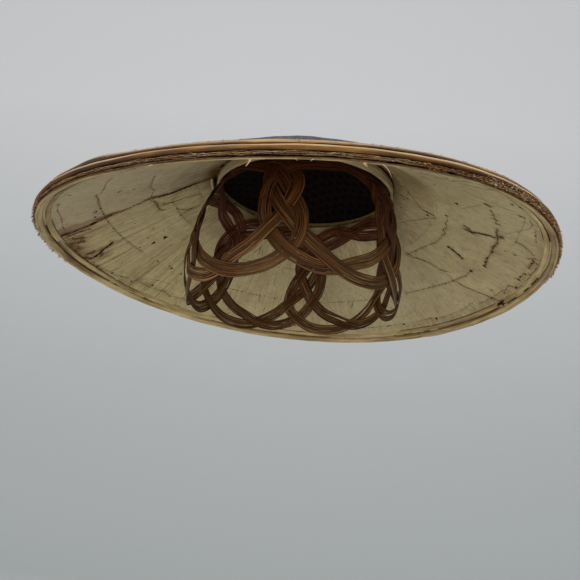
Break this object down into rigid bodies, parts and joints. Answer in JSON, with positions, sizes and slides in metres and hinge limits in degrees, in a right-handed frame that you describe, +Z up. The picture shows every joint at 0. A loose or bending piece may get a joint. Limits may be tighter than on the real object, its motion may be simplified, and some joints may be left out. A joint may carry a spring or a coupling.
{
  "type": "conical bamboo hat",
  "caption": "Wide conical sun hat: a woven bamboo and leaf cone with a lacquered top, bamboo hoops round the rim and an open basket of plaited rattan inside that sits on the head.",
  "frame": {"origin": "on the crown's axis in the plane of the rim, in the middle of the space that the head fills", "axes": "+Z up along the hat's axis to the apex, -Y to the front, +X to the viewer's right when seen from the front"},
  "size_m": [0.4126, 0.4126, 0.1623],
  "materials": {
    "lacquer": "glossy navy-black lacquer over woven bamboo",
    "golden_bamboo": "aged golden-brown split bamboo, satin",
    "splints": "dull split bamboo",
    "brown_leaf": "dry brown leaf, torn at the edge",
    "pale_leaf": "dry pale leaf, dull, cracked",
    "pale_bamboo": "pale split bamboo, satin",
    "rattan": "reddish-brown rattan skein, satin"
  },
  "bodies": {
    "root": {"cover": "lacquer", "upper_strip": "golden_bamboo", "rim_hoop": "golden_bamboo", "bamboo_frame": "splints", "leaf_layer": "brown_leaf", "leaf_lining": "pale_leaf", "lower_hoop": "pale_bamboo", "inner_strip": "pale_bamboo", "crown_hoop": "pale_bamboo", "head_basket": "rattan"}
  },
  "joints": []
}
